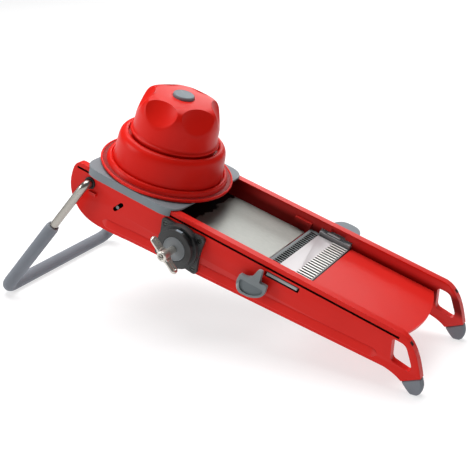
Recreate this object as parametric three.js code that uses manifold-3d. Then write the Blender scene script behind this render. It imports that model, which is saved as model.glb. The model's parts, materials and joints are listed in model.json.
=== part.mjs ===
// Mandoline slicer with a fold-out leg, a thickness knob, a swing-up julienne comb, a pull-out
// blade cassette and a telescoping bell pusher. Units are millimetres.
// In the body's own axes x runs down the slide from the raised rear to the grips, y runs across it
// (the knob is on the -y side), and z stands on the tray; x = 0, y = 0 is the pusher's axis.
// The last lines tilt that body onto its feet and put the origin under the middle of its box.
import * as THREE from "three";
import { mergeVertices } from "three/addons/utils/BufferGeometryUtils.js";
import Module from "manifold-3d";

const wasm = await Module();
wasm.setup();

// ---- driving dimensions -------------------------------------------------------------------------
const gap = 0.3; // between pieces that touch
const slip = 0.5; // between pieces that slide or turn
const tilt = 16; // slope of the slide, degrees
const bodyWidth = 125; // over the side walls
const wallThickness = 7.8;
const railTop = 14; // rail height over the tray
const railEnd = 292; // where the rails drop into the grips
const rearReach = 69.5; // wall behind the pusher's axis
const wallDepth = 42.6; // wall below the tray at the rear
const gripDepth = 25.2; // wall below the tray at the grips
const gripLength = 31.3; // grip loop beyond the rails
const grooveHeight = 8.4; // carriage groove over the tray
const grooveHalf = 1.1; // half its width
const grooveDepth = 1.8;
const trayNoseRadius = 132;
const trayThickness = 3;
const footDrop = 12.8; // foot below the wall's edge at the grip
const padLength = 6; // flat of each foot pad

const legPivot = { x: -46, z: -1.5 };
const legAngle = -112.8; // arm direction from +x, degrees
const legRodRadius = 4.2;
const sleeveWall = 2.7; // rubber round the rod
const sleeveStart = 62; // bare rod between pivot and sleeve
const legSplay = 17; // how far each arm leans outwards
const legClear = 4; // rod surface to wall
const legTopBend = 6;
const legBend = 11;
const bushWall = 1.65;

const knobAxis = { x: 68, z: -14.5 };
const knobTurn = 270; // degrees for the whole plate travel
const housingRadius = 22;
const flangeThickness = 3.2;
const housingDepth = 7.2;
const collarDepth = 5;
const earRadius = 5.4;
const flangeWaist = 2.5; // how far the flange's sides curve in between its ears
const shaftRadius = 2.2;
const camClear = 1; // plate carrier over the cams
const handleLength = 41;
const handleAngle = -35.6; // degrees in the x-z plane
const handleReach = 28.5; // wings' middle plane outside the wall
const wingDepth = 9;
const wingRodRadius = 2;
const hubRadius = 5.2;
const blockLength = 14; // casting between the two hairpins

const plateTop = -6.2; // steel plate at rest, below the tray's level
const plateRear = -58;
const plateThickness = 1.2;
const carrierThickness = 1.4;
const plateDown = 3.2; // travel along the slot from rest
const plateUp = 7;
const slotAngle = 51; // degrees
const slotPin = { x: -9.9, z: -12.4 };
const pinRadius = 1.9;

const combAxle = { x: 153, z: -6.5 };
const combAxleRadius = 2.4;
const combPitch = 4;
const toothThickness = 0.7;
const toothWidth = 4.4;
const toothReach = 7.3; // from the axle to the tip
const toothSlot = 2.3; // width of the slot round each tooth
const bedThickness = 1.2;
const leverThickness = 4;

const bladeLength = 34.4;
const bladeThickness = 0.9;
const ribPitch = 4.8;
const ribWidth = 2.3;
const ribLength = 17;
const cassetteDepth = 4.2;
const pullReach = 93.4;
const pull = { z0: 1, z1: 4.5 };

const carriageOverhang = 4.5; // beyond each wall
const carriageTop = 16.5;
const carriageThickness = 2.2;
const carriageCorner = 20;
const bellOverhang = 13.2; // guard's lip beyond the inner face of each wall
const spigotClear = 6; // guard's spigot to each wall
const spigotWall = 2.5;
const guardRise = 37.3; // shoulder over the carriage
const plungerWall = 2.6;
const plungerTop = 97;
const pressTravel = 20;
const scoops = 6;
const scoop = { deep: 12, wide: 24, long: 30 }; // half sizes of the egg that cuts each one
const scoopLean = 34; // degrees, inwards at its top
const scoopOutside = 2.1; // its middle beyond the plunger's side
const scoopBelow = 5.6; // and below the plunger's top
const capRadius = 10.6;
const capRise = 3.2; // over the plunger
const plungerRodRadius = 4;
const springTurns = 4;
const springWire = 0.8;
const prongLength = 14;
const discHeight = 40;

// ---- derived places -----------------------------------------------------------------------------
const outerY = bodyWidth / 2;
const innerY = outerY - wallThickness;
const slope = THREE.MathUtils.degToRad(tilt);
const slotDirection = {
  x: Math.cos(THREE.MathUtils.degToRad(slotAngle)),
  z: Math.sin(THREE.MathUtils.degToRad(slotAngle)),
};
const bedStart = combAxle.x - 5.8;
const bedEnd = combAxle.x + 4.9;
const bladeStart = bedEnd + slip;
const bladeEnd = bladeStart + bladeLength;
const trayStart = bladeEnd + 0.7;
const trayNose = railEnd + 5;
const plateFront = bedStart - 0.6 - plateUp * slotDirection.x; // clears the comb at the top
const tongue = { x0: bladeStart + 1.1, x1: bladeEnd - 1.1, z0: 0.9, z1: 4.1 };
const gripTip = railEnd + gripLength;
const heel = { x: gripTip - 3.6, z: -gripDepth - footDrop };
const bushRadius = legRodRadius + gap + bushWall;
const sleeveRadius = legRodRadius + sleeveWall;

const collarRadius = housingRadius - 3;
const discRadius = collarRadius - 6.8;
const earSpread = { x: housingRadius - 2.4, z: housingRadius - 6.5 };
const flangeBack = -outerY - gap;
const flangeFace = flangeBack - flangeThickness;
const housingFace = flangeBack - housingDepth;
const collarFace = housingFace - collarDepth;

const spigotRadius = innerY - spigotClear;
const spigotBore = spigotRadius - spigotWall;
const guardRadius = innerY + bellOverhang;
const guardInner = spigotRadius + 1.9;
const guardOpening = guardInner - 4.6;
const guardSeat = carriageTop + gap;
const guardShoulder = carriageTop + guardRise;
const flangeHeight = guardShoulder - 5.1; // top of the plunger's hidden stop flange
const flangeRadius = guardInner - 1;
const plungerRadius = guardOpening - 3.7;
const plungerFoot = guardOpening - 1.3;
const scoopReach = plungerRadius + scoopOutside;
const capTop = plungerTop + capRise;
const carriageHalf = guardRadius - 12.1; // along the slide
const lipHalf = grooveHalf - gap; // of the tongue that runs in the groove
const skirtBottom = grooveHeight - lipHalf;
const leverTop = skirtBottom - slip; // the carriage passes over it

// ---- materials ----------------------------------------------------------------------------------
const finish = (color, roughness, metalness = 0) =>
  new THREE.MeshStandardMaterial({ color, roughness, metalness });
const redPlastic = finish(0xd62a1e, 0.35);
const greyPlastic = finish(0x858c92, 0.5);
const greyRubber = finish(0x878b92, 0.75);
const blackPlastic = finish(0x1e2021, 0.45);
const clearPlastic = finish(0xb9c4c4, 0.2);
const brushedSteel = finish(0xb8bab4, 0.3, 1);
const polishedSteel = finish(0xc9c6c0, 0.2, 1);

// ---- solids -------------------------------------------------------------------------------------
// A closed geometry as a manifold solid.
function solid(geometry) {
  geometry.deleteAttribute("normal");
  geometry.deleteAttribute("uv");
  const merged = mergeVertices(geometry, 1e-4);
  const vertProperties = merged.attributes.position.array;
  const triVerts = new Uint32Array(merged.index.array);
  return new wasm.Manifold(new wasm.Mesh({ numProp: 3, vertProperties, triVerts }));
}

function box(x0, x1, y0, y1, z0, z1) {
  const geometry = new THREE.BoxGeometry(x1 - x0, y1 - y0, z1 - z0);
  return solid(geometry.translate((x0 + x1) / 2, (y0 + y1) / 2, (z0 + z1) / 2));
}

// A cylinder along y between y0 and y1.
function barY(radius, y0, y1, { x, z }, sides = 24) {
  const geometry = new THREE.CylinderGeometry(radius, radius, Math.abs(y1 - y0), sides);
  return solid(geometry.translate(x, (y0 + y1) / 2, z));
}

// A cylinder, or a cone, along z between z0 and z1.
function barZ(radius, z0, z1, x = 0, y = 0, sides = 24, footRadius = radius) {
  const geometry = new THREE.CylinderGeometry(radius, footRadius, z1 - z0, sides);
  return solid(geometry.rotateX(Math.PI / 2).translate(x, y, (z0 + z1) / 2));
}

// A closed profile of [radius, z] points turned about z, outer wall upwards.
function turned(profile, sides = 40) {
  const points = profile.map(([radius, z]) => new THREE.Vector2(radius, z));
  return solid(new THREE.LatheGeometry(points, sides).rotateX(Math.PI / 2));
}

// A polygon of [u, v, radius] corners, each rounded by its radius or by half its shorter side.
function rounded(corners) {
  const path = new THREE.Shape();
  const count = corners.length;
  corners.forEach(([u, v, radius = 0], i) => {
    const corner = new THREE.Vector2(u, v);
    const back = new THREE.Vector2(...corners[(i + count - 1) % count]).sub(corner);
    const ahead = new THREE.Vector2(...corners[(i + 1) % count]).sub(corner);
    const reach = Math.min(radius, 0.499 * back.length(), 0.499 * ahead.length());
    const enter = back.setLength(reach).add(corner);
    const leave = ahead.setLength(reach).add(corner);
    if (i === 0) path.moveTo(enter.x, enter.y);
    else path.lineTo(enter.x, enter.y);
    if (reach > 0) path.quadraticCurveTo(corner.x, corner.y, leave.x, leave.y);
  });
  path.closePath();
  return path;
}

// An x-z outline extruded along y from y0 to y1.
function sidePlate(shape, y0, y1, curveSegments = 6) {
  const settings = { depth: y1 - y0, bevelEnabled: false, curveSegments };
  return solid(new THREE.ExtrudeGeometry(shape, settings).rotateX(Math.PI / 2).translate(0, y1, 0));
}

// An x-y outline extruded along z from z0 to z1.
function slab(shape, z0, z1, curveSegments = 8) {
  const settings = { depth: z1 - z0, bevelEnabled: false, curveSegments };
  return solid(new THREE.ExtrudeGeometry(shape, settings).translate(0, 0, z0));
}

function rectangle(x0, x1, y0, y1, radius = 0) {
  return rounded([[x0, y0, radius], [x1, y0, radius], [x1, y1, radius], [x0, y1, radius]]);
}

// A slot with round ends between two x-z points.
function slotShape(from, to, radius, arcSteps = 8) {
  const along = Math.atan2(to.z - from.z, to.x - from.x);
  const roundEnd = (centre, start) => Array.from({ length: arcSteps + 1 }, (_, i) => {
    const angle = start + (Math.PI * i) / arcSteps;
    return new THREE.Vector2(centre.x + radius * Math.cos(angle),
      centre.z + radius * Math.sin(angle));
  });
  return new THREE.Shape([...roundEnd(from, along + Math.PI / 2),
    ...roundEnd(to, along - Math.PI / 2)]);
}

// A route through fixed stations, so that a swept piece has one section at each of them.
class Route extends THREE.Curve {
  constructor(stations) {
    super();
    this.stations = stations;
  }
  getPoint(t) {
    const last = this.stations.length - 1;
    const index = Math.min(Math.floor(t * last), last - 1);
    return this.stations[index].clone().lerp(this.stations[index + 1], t * last - index);
  }
  getPointAt(t) {
    return this.getPoint(t);
  }
  getTangentAt(t) {
    return this.getTangent(t);
  }
}

// Stations along corner points, with an arc of the given radius at each inner corner.
function bentRoute(corners, radii, arcSteps = 5) {
  const stations = [corners[0].clone()];
  for (let i = 1; i < corners.length - 1; i++) {
    const back = corners[i - 1].clone().sub(corners[i]).normalize();
    const ahead = corners[i + 1].clone().sub(corners[i]).normalize();
    const half = back.angleTo(ahead) / 2;
    const start = corners[i].clone().addScaledVector(back, radii[i - 1] / Math.tan(half));
    const end = corners[i].clone().addScaledVector(ahead, radii[i - 1] / Math.tan(half));
    const middle = back.clone().add(ahead).normalize();
    const centre = corners[i].clone().addScaledVector(middle, radii[i - 1] / Math.sin(half));
    const sweep = Math.PI - 2 * half;
    const from = start.clone().sub(centre);
    const to = end.clone().sub(centre);
    for (let k = 0; k <= arcSteps; k++) {
      const turn = (sweep * k) / arcSteps;
      const point = from.clone().multiplyScalar(Math.sin(sweep - turn) / Math.sin(sweep));
      stations.push(point.addScaledVector(to, Math.sin(turn) / Math.sin(sweep)).add(centre));
    }
  }
  stations.push(corners.at(-1).clone());
  return stations;
}

function swept(stations, radius, sides = 10, boreRadius = 0) {
  const section = new THREE.Shape(ring(radius, sides));
  if (boreRadius > 0) section.holes.push(new THREE.Path(ring(boreRadius, sides)));
  const extrudePath = new Route(stations);
  return solid(new THREE.ExtrudeGeometry(section, { steps: stations.length - 1, extrudePath }));
}

function ring(radius, sides) {
  return Array.from({ length: sides }, (_, i) => {
    const angle = (2 * Math.PI * i) / sides;
    return new THREE.Vector2(radius * Math.cos(angle), radius * Math.sin(angle));
  });
}

const fuse = (...solids) => solids.reduce((sum, piece) => sum.add(piece));
const mirrorY = (piece) => piece.mirror([0, 1, 0]);

const body = new THREE.Group();
body.rotation.y = slope;

function add(name, piece, material) {
  const { numProp, vertProperties, triVerts } = piece.getMesh();
  const position = new Float32Array((vertProperties.length / numProp) * 3);
  for (let i = 0; i < position.length / 3; i++) {
    position.set(vertProperties.subarray(i * numProp, i * numProp + 3), i * 3);
  }
  const geometry = new THREE.BufferGeometry();
  geometry.setAttribute("position", new THREE.BufferAttribute(position, 3));
  geometry.setIndex(new THREE.BufferAttribute(triVerts, 1));
  geometry.computeVertexNormals();
  const mesh = new THREE.Mesh(geometry, material);
  mesh.name = name;
  body.add(mesh);
}

// ---- side walls ---------------------------------------------------------------------------------
function wallOutline() {
  const shape = new THREE.Shape();
  shape.moveTo(-rearReach + 8, railTop);
  shape.bezierCurveTo(-rearReach + 2, railTop - 1, -rearReach, railTop - 9, -rearReach, -6);
  shape.bezierCurveTo(-rearReach, -wallDepth + 19, -rearReach + 14.5, -wallDepth, -28, -wallDepth);
  shape.quadraticCurveTo(-10, -wallDepth, 10, -wallDepth + 2.1);
  shape.lineTo(railEnd - 3, -gripDepth);
  shape.quadraticCurveTo(railEnd + 8.5, -gripDepth - 0.8, railEnd + 16, -gripDepth - 5);
  shape.lineTo(gripTip, -gripDepth + 6.8);
  shape.bezierCurveTo(gripTip - 5.3, -8.5, gripTip - 15, railTop - 1.8, railEnd, railTop);
  shape.closePath();
  return shape;
}

function gripHole() {
  return rounded([
    [railEnd - 4.6, 5.4, 4],
    [railEnd + 0.6, -15.8, 4],
    [railEnd + 19.6, -18.2, 3],
    [railEnd + 20.2, -12, 5],
    [railEnd + 8.6, 5.2, 5],
  ]);
}

const slotLow = {
  x: slotPin.x - plateDown * slotDirection.x,
  z: slotPin.z - plateDown * slotDirection.z,
};
const slotHigh = {
  x: slotPin.x + plateUp * slotDirection.x,
  z: slotPin.z + plateUp * slotDirection.z,
};

// The wall as it stands on the +y side; through is past both its faces.
function sideWall() {
  const through = [innerY - 1, outerY + 1];
  const cuts = [
    sidePlate(gripHole(), ...through),
    sidePlate(slotShape(slotLow, slotHigh, pinRadius + 0.35), ...through),
    barY(bushRadius + gap, ...through, legPivot),
    barY(combAxleRadius + slip, ...through, combAxle, 16),
    box(-rearReach + 5.5, railEnd + 1, outerY - grooveDepth, outerY + 1,
      grooveHeight - grooveHalf, grooveHeight + grooveHalf),
  ];
  const stop = box(legPivot.x + 1.5, legPivot.x + 10, outerY - 0.5, outerY + 2.2,
    legPivot.z - 11, legPivot.z - 7.5);
  return cuts.reduce((rest, cut) => rest.subtract(cut),
    sidePlate(wallOutline(), innerY, outerY, 10)).add(stop);
}

const cassetteMouth = (z0, z1) =>
  [tongue.x0 - 2.4, tongue.x1 + 2.4, innerY - 1, outerY + 1, z0, z1];

const farWall = sideWall()
  .subtract(barY(shaftRadius + slip, innerY - 1, innerY + 5, knobAxis, 16))
  .subtract(box(bladeStart - 1, bladeEnd + 0.6, innerY - 1, outerY + 1, -cassetteDepth - slip, 6.4))
  .subtract(box(bladeStart + 10, bladeEnd - 8, innerY - 1, innerY + 3, 6, 11.5))
  .add(box(bedStart - 19, bedStart, innerY - 2.8, innerY + 1, 0.5, 6.4));
add("far_side_wall", farWall, redPlastic);

const nearWall = mirrorY(
  sideWall()
    .subtract(barY(shaftRadius + slip + 1, innerY - 1, outerY + 1, knobAxis, 16))
    .subtract(box(...cassetteMouth(0, 5)))
    .subtract(box(combAxle.x - 10, combAxle.x - 5, outerY - 2, outerY + 1,
      combAxle.z - 20.5, combAxle.z - 17)),
);
add("near_side_wall", nearWall, redPlastic);

// Soft toe under each grip, with a flat parallel to the floor.
function foot() {
  const toe = {
    x: heel.x + padLength * Math.cos(slope),
    z: heel.z + padLength * Math.sin(slope),
  };
  return sidePlate(rounded([
    [railEnd + 16.3, -gripDepth - 5.4],
    [heel.x - 4.6, heel.z + 2.4, 4],
    [heel.x, heel.z, 1],
    [toe.x, toe.z, 1],
    [gripTip + 4.6, -gripDepth - 8, 4],
    [gripTip + 4.4, -gripDepth - 1, 4],
    [gripTip + 0.1, -gripDepth + 6.5],
  ]), innerY, outerY, 4);
}
add("far_foot", foot(), greyRubber);
add("near_foot", mirrorY(foot()), greyRubber);

// ---- tray and cross members ---------------------------------------------------------------------
function trayOutline(halfWidth) {
  const half = Math.asin(halfWidth / trayNoseRadius);
  const centre = trayNose - trayNoseRadius;
  const shape = new THREE.Shape();
  shape.moveTo(trayStart, halfWidth);
  shape.lineTo(trayStart, -halfWidth);
  shape.absarc(centre, 0, trayNoseRadius, -half, half);
  shape.closePath();
  return shape;
}

const trayHalf = innerY - gap;
const trayFlange = (side) => box(trayStart, trayNose - 22, ...[trayHalf - 2.4, trayHalf]
  .map((y) => side * y).sort((a, b) => a - b), -12, -1);
const trayRib = (x) => box(x, x + 2.5, -trayHalf + 1, trayHalf - 1, -12, -1);
add("tray", fuse(slab(trayOutline(trayHalf), -trayThickness, 0, 16), trayFlange(1), trayFlange(-1),
  trayRib(trayStart), trayRib(235), trayRib(trayNose - 26)), redPlastic);

// An open channel across the body, between the walls.
function crossMember(x, z, width, height) {
  return box(x, x + width, -trayHalf, trayHalf, z, z + height)
    .subtract(box(x + 2.5, x + width - 2.5, -trayHalf + 3, trayHalf - 3, z + 2.5, z + height + 1));
}
add("rear_cross_member", crossMember(-40, -wallDepth + 6, 26, 12), redPlastic);
add("middle_cross_member", crossMember(112, -27, 22, 9), redPlastic);

// ---- folding leg --------------------------------------------------------------------------------
const armDirection = THREE.MathUtils.degToRad(legAngle);
const worldHeight = ({ x, z }) => -x * Math.sin(slope) + z * Math.cos(slope);
const padHeight = worldHeight(heel);
const legDrop = padHeight + sleeveRadius - worldHeight(legPivot);
const legLength = legDrop / Math.sin(armDirection - slope);
const legTopY = outerY + legClear + legRodRadius;
const onLeg = (along, y) => new THREE.Vector3(
  legPivot.x + along * Math.cos(armDirection), y, legPivot.z + along * Math.sin(armDirection));
const legCorners = [
  onLeg(0, -innerY - 1),
  onLeg(0, -legTopY),
  onLeg(legLength, -legTopY - legSplay),
  onLeg(legLength, legTopY + legSplay),
  onLeg(0, legTopY),
  onLeg(0, innerY + 1),
];
add("leg_rod", swept(bentRoute(legCorners, [legTopBend, legBend, legBend, legTopBend]),
  legRodRadius), polishedSteel);

const sleeveShare = sleeveStart / legLength;
const sleeveCorners = [
  onLeg(sleeveStart, -legTopY - legSplay * sleeveShare),
  ...legCorners.slice(2, 4),
  onLeg(sleeveStart, legTopY + legSplay * sleeveShare),
];
add("leg_sleeve", swept(bentRoute(sleeveCorners, [legBend, legBend]), sleeveRadius, 12,
  legRodRadius + gap), greyRubber);

function legBush() {
  return barY(bushRadius, innerY, outerY + 1.5, legPivot)
    .subtract(barY(legRodRadius + gap, innerY - 1, outerY + 3, legPivot, 20));
}
add("far_leg_bush", legBush(), blackPlastic);
add("near_leg_bush", mirrorY(legBush()), blackPlastic);

// ---- thickness knob -----------------------------------------------------------------------------
const ears = [[1, 1], [1, -1], [-1, -1], [-1, 1]].map(([sx, sz]) => ({
  x: knobAxis.x + sx * earSpread.x,
  z: knobAxis.z + sz * earSpread.z,
}));

const recessFloor = collarFace + 3.5;
const flangeHalf = { x: earSpread.x + earRadius, z: earSpread.z + earRadius };
const flangeShape = rounded([[1, 1], [1, 0], [1, -1], [0, -1], [-1, -1], [-1, 0], [-1, 1], [0, 1]]
  .map(([sx, sz]) => {
    const waist = sx * sz === 0 ? flangeWaist : 0;
    return [knobAxis.x + sx * (flangeHalf.x - waist), knobAxis.z + sz * (flangeHalf.z - waist),
      waist ? 8 : earRadius];
  }));
let housing = fuse(
  sidePlate(flangeShape, flangeFace, flangeBack),
  barY(housingRadius, housingFace, flangeBack, knobAxis, 40),
  barY(collarRadius, collarFace, housingFace + 1, knobAxis, 40),
).subtract(barY(discRadius + slip, collarFace - 1, recessFloor, knobAxis, 32))
  .subtract(barY(shaftRadius + slip, collarFace, flangeBack + 1, knobAxis, 20));
ears.forEach((ear) => {
  housing = housing.subtract(barY(2.9, flangeFace - 1, flangeFace + 1.9, ear, 16));
});
const window = { half: 3.2, depth: 1.4, top: knobAxis.z + collarRadius + 0.2 };
const windowY = (housingFace + collarFace) / 2;
housing = housing.subtract(box(knobAxis.x - window.half - gap, knobAxis.x + window.half + gap,
  windowY - 1.5 - gap, windowY + 1.5 + gap, window.top - window.depth - gap, window.top + 1));
add("knob_housing", housing, blackPlastic);
add("index_window", box(knobAxis.x - window.half, knobAxis.x + window.half, windowY - 1.5,
  windowY + 1.5, window.top - window.depth, window.top), clearPlastic);

ears.forEach((ear, i) => {
  const head = barY(2.6, flangeFace + 0.2, flangeFace + 1.9 - gap, ear, 16);
  add(`housing_screw_${i + 1}`, head.subtract(box(ear.x - 2, ear.x + 2, flangeFace - 1,
    flangeFace + 0.8, ear.z - 0.35, ear.z + 0.35)), brushedSteel);
});

const discBack = recessFloor - gap;
const discFace = collarFace - 0.4;
add("knob_disc", barY(discRadius, discFace, discBack, knobAxis, 32)
  .subtract(barY(shaftRadius + gap, discFace - 1, discBack + 1, knobAxis, 20)), greyPlastic);

// Spiral cams on the shaft: radius grows evenly with the knob's turn, so the plate rises evenly.
const carrierBottom = plateTop - plateThickness - gap - carrierThickness;
const turnRange = THREE.MathUtils.degToRad(knobTurn);
const plateTravel = plateDown + plateUp;
const lift = (slotDirection.z * plateTravel) / turnRange;
const camRest = carrierBottom - knobAxis.z - camClear;
function camShape(steps = 28) {
  const shape = new THREE.Shape();
  const turnDown = (turnRange * plateDown) / plateTravel;
  for (let i = 0; i <= steps; i++) {
    const turn = -turnDown + (turnRange * i) / steps;
    const radius = camRest + lift * turn;
    const angle = Math.PI / 2 - turn;
    const point = [knobAxis.x + radius * Math.cos(angle), knobAxis.z + radius * Math.sin(angle)];
    if (i === 0) shape.moveTo(...point);
    else shape.lineTo(...point);
  }
  shape.closePath();
  return shape;
}
const cams = [-42, 38].map((y) => sidePlate(camShape(), y, y + 4));
add("cam_shaft", fuse(barY(shaftRadius, discFace + 1, innerY + 4.5, knobAxis, 20), ...cams),
  brushedSteel);

// Two hairpins of rod on a round hub: each runs out and back side by side across y.
const wingPlane = -outerY - handleReach;
const wingFace = wingPlane - wingDepth / 2;
const wingTurn = THREE.MathUtils.degToRad(handleAngle);
const onWing = (along, y) => new THREE.Vector3(
  knobAxis.x + along * Math.cos(wingTurn), y, knobAxis.z + along * Math.sin(wingTurn));
const hairpinRow = wingDepth / 2 - wingRodRadius;
const blockHalf = wingRodRadius + 0.5;
let handle = barY(hubRadius, wingFace - 0.8, discFace - gap, knobAxis, 24);
[-1, 1].forEach((side) => {
  const end = side * (handleLength / 2 - wingRodRadius);
  const corners = [onWing(0, wingPlane - hairpinRow), onWing(end, wingPlane - hairpinRow),
    onWing(end, wingPlane + hairpinRow), onWing(0, wingPlane + hairpinRow)];
  handle = handle.add(swept(bentRoute(corners, [hairpinRow * 0.9, hairpinRow * 0.9], 4),
    wingRodRadius, 12));
});
const blockTurn = (along, across) => [
  knobAxis.x + along * Math.cos(wingTurn) - across * Math.sin(wingTurn),
  knobAxis.z + along * Math.sin(wingTurn) + across * Math.cos(wingTurn), 1.2];
handle = handle.add(sidePlate(rounded([
  blockTurn(-blockLength / 2, -blockHalf), blockTurn(blockLength / 2, -blockHalf),
  blockTurn(blockLength / 2, blockHalf), blockTurn(-blockLength / 2, blockHalf),
]), wingFace + 0.6, wingFace + wingDepth - 0.6));
handle = handle.subtract(barY(2.4, wingFace - 1.8, wingFace + 2.5, knobAxis, 16));
add("t_handle", handle, polishedSteel);
add("handle_screw", barY(2.1, wingFace - 1.2, wingFace + 2.2, knobAxis, 16)
  .subtract(box(knobAxis.x - 1.8, knobAxis.x + 1.8, wingFace - 2, wingFace - 0.5,
    knobAxis.z - 0.35, knobAxis.z + 0.35)), brushedSteel);

// ---- rising plate -------------------------------------------------------------------------------
const plateHalf = innerY - 0.6;
add("input_plate", slab(rectangle(plateRear, plateFront, -plateHalf, plateHalf, 1),
  plateTop - plateThickness, plateTop, 3), brushedSteel);

const carrierTop = plateTop - plateThickness - gap;
const pinBlock = (side) => {
  const [y0, y1] = [plateHalf - 3, plateHalf].map((y) => side * y).sort((a, b) => a - b);
  return box(slotPin.x - 8, slotPin.x + 14, y0, y1, slotPin.z - 6, carrierTop - 0.4)
    .subtract(barY(pinRadius + gap, y0 - 1, y1 + 1, slotPin, 16));
};
const carrierWindow = (x0, x1) => box(x0, x1, -plateHalf + 10, plateHalf - 10, -30, 0);
add("plate_carrier", fuse(
  slab(rectangle(plateRear + 6, plateFront - 6, -plateHalf + 1, plateHalf - 1, 3),
    carrierBottom, carrierTop, 3)
    .subtract(carrierWindow(plateRear + 16, 40)).subtract(carrierWindow(96, plateFront - 14)),
  pinBlock(1), pinBlock(-1)), blackPlastic);
const guidePin = barY(pinRadius, plateHalf - 2.6, outerY - 1, slotPin, 16);
add("far_guide_pin", guidePin, brushedSteel);
add("near_guide_pin", mirrorY(guidePin), brushedSteel);

// ---- julienne comb ------------------------------------------------------------------------------
const teethEachSide = Math.floor((innerY - 6.4) / combPitch);
let bed = box(bedStart, bedEnd, -trayHalf, trayHalf, -0.2 - bedThickness, -0.2);
let comb = barY(combAxleRadius, -outerY - gap, outerY - 1, combAxle, 16);
for (let i = -teethEachSide; i <= teethEachSide; i++) {
  const y = i * combPitch;
  bed = bed.subtract(box(bedStart + 3.2, bedEnd + 1, y - toothSlot / 2, y + toothSlot / 2, -3, 1));
  comb = comb.add(box(combAxle.x - toothWidth / 2, combAxle.x + toothWidth / 2,
    y - toothThickness / 2, y + toothThickness / 2, combAxle.z, combAxle.z + toothReach));
}
add("comb_bed", bed, greyPlastic);
add("julienne_comb", comb, brushedSteel);

// Fan-shaped lever on the end of the comb's axle, with a thumb tab above.
function leverShape() {
  const { x, z } = combAxle;
  return rounded([
    [x - 15.4, z + 0.4, 2],
    [x - 17.2, z - 10, 6],
    [x - 13, z - 18.6, 7],
    [x + 2, z - 18, 9],
    [x + 13.4, z - 10, 7],
    [x + 13.4, z + 1.6, 2],
    [x + 5.4, z + 1.6, 1.5],
    [x + 5.4, leverTop, 2],
    [x + 1, leverTop, 2],
    [x - 2.4, z + 4.4, 2],
    [x - 7.5, z + 0.6, 2],
  ]);
}
const leverBack = -outerY - 4.3;
const leverFace = leverBack - leverThickness;
const lever = sidePlate(leverShape(), leverFace, leverBack, 6)
  .subtract(sidePlate(rounded([
    [combAxle.x - 14, combAxle.z - 4, 3],
    [combAxle.x - 12, combAxle.z - 16, 6],
    [combAxle.x + 1.4, combAxle.z - 15.6, 8],
    [combAxle.x + 11, combAxle.z - 8.4, 6],
    [combAxle.x + 11, combAxle.z - 4, 3],
  ]), leverFace - 1, leverFace + 1.6, 6))
  .add(barY(4.6, leverBack - 1, -outerY - gap * 2, combAxle, 20));
const axleEnd = barY(combAxleRadius + gap, -outerY - 2.6, -outerY + 1, combAxle, 16);
add("fan_lever", lever.subtract(axleEnd), greyPlastic);

// ---- blade cassette -----------------------------------------------------------------------------
const bladeHalf = innerY - 0.7;
let blade = box(bladeStart, bladeEnd, -bladeHalf + 4, bladeHalf - 4.4, -bladeThickness, 0);
const ribsEachSide = Math.floor((innerY - 6.7) / ribPitch);
for (let i = -ribsEachSide; i <= ribsEachSide; i++) {
  const y = i * ribPitch;
  blade = blade.add(box(bladeEnd - ribLength, bladeEnd - 0.8, y - ribWidth / 2, y + ribWidth / 2,
    -0.4, 0.45));
  if (i < ribsEachSide) {
    const [y0, y1] = [y + ribWidth / 2 + 0.25, y + ribPitch - ribWidth / 2 - 0.25];
    blade = blade.subtract(box(bladeEnd - ribLength + 1, bladeEnd - 1.2, y0, y1, -2, 1));
  }
}
add("blade_plate", blade, brushedSteel);

const frameTop = -bladeThickness - gap;
const frameBottom = -cassetteDepth;
const farBlockY = bladeHalf - 4;
const cassetteFrame = fuse(
  box(bladeStart + 2.6, bladeEnd, -bladeHalf, bladeHalf, frameBottom, frameTop)
    .subtract(box(bladeStart + 9, bladeEnd - 2.5, -bladeHalf + 5, bladeHalf - 5, -9, 1)),
  box(tongue.x0, tongue.x1, -bladeHalf, -bladeHalf + 3.6, frameBottom, tongue.z1),
  box(tongue.x0, tongue.x1, -outerY + 0.4, -bladeHalf + 1, tongue.z0, tongue.z1),
  box(bladeStart, bladeEnd, farBlockY, bladeHalf, frameBottom, 4.6),
  box(bladeStart + 8, bladeEnd - 12, farBlockY + 1, bladeHalf, 4, 6),
);
add("cassette_frame", cassetteFrame, greyPlastic);

function pullOutline() {
  const shape = new THREE.Shape();
  const back = outerY + 0.8;
  shape.moveTo(bladeStart + 0.4, back);
  shape.lineTo(bladeEnd - 0.4, back);
  shape.bezierCurveTo(bladeEnd - 0.4, pullReach + 1, bladeEnd - 12, pullReach,
    (bladeStart + bladeEnd) / 2, pullReach);
  shape.bezierCurveTo(bladeStart + 12, pullReach, bladeStart + 0.4, pullReach + 1,
    bladeStart + 0.4, back);
  return shape;
}
add("cassette_pull", fuse(
  slab(pullOutline(), pull.z0, pull.z1, 10),
  box(bladeStart + 0.4, bladeEnd - 0.4, bladeHalf + gap, outerY + 2, -2.6, 5.2),
), greyPlastic);

// ---- pusher -------------------------------------------------------------------------------------
const carriageY = outerY + carriageOverhang;
const carriageBottom = carriageTop - carriageThickness;
const skirtInner = outerY + slip;
const lip = (side) => {
  const [y0, y1] = [outerY - grooveDepth + slip, skirtInner + 1].map((y) => side * y)
    .sort((a, b) => a - b);
  return box(-carriageHalf + carriageCorner, carriageHalf - carriageCorner, y0, y1,
    skirtBottom, grooveHeight + lipHalf);
};
add("carriage", fuse(
  slab(rectangle(-carriageHalf, carriageHalf, -carriageY, carriageY, carriageCorner),
    skirtBottom, carriageTop)
    .subtract(box(-carriageHalf - 1, carriageHalf + 1, -skirtInner, skirtInner, 0,
      carriageBottom))
    .subtract(barZ(spigotRadius + gap, 0, 20, 0, 0, 40)),
  lip(1), lip(-1)), greyPlastic);

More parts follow.
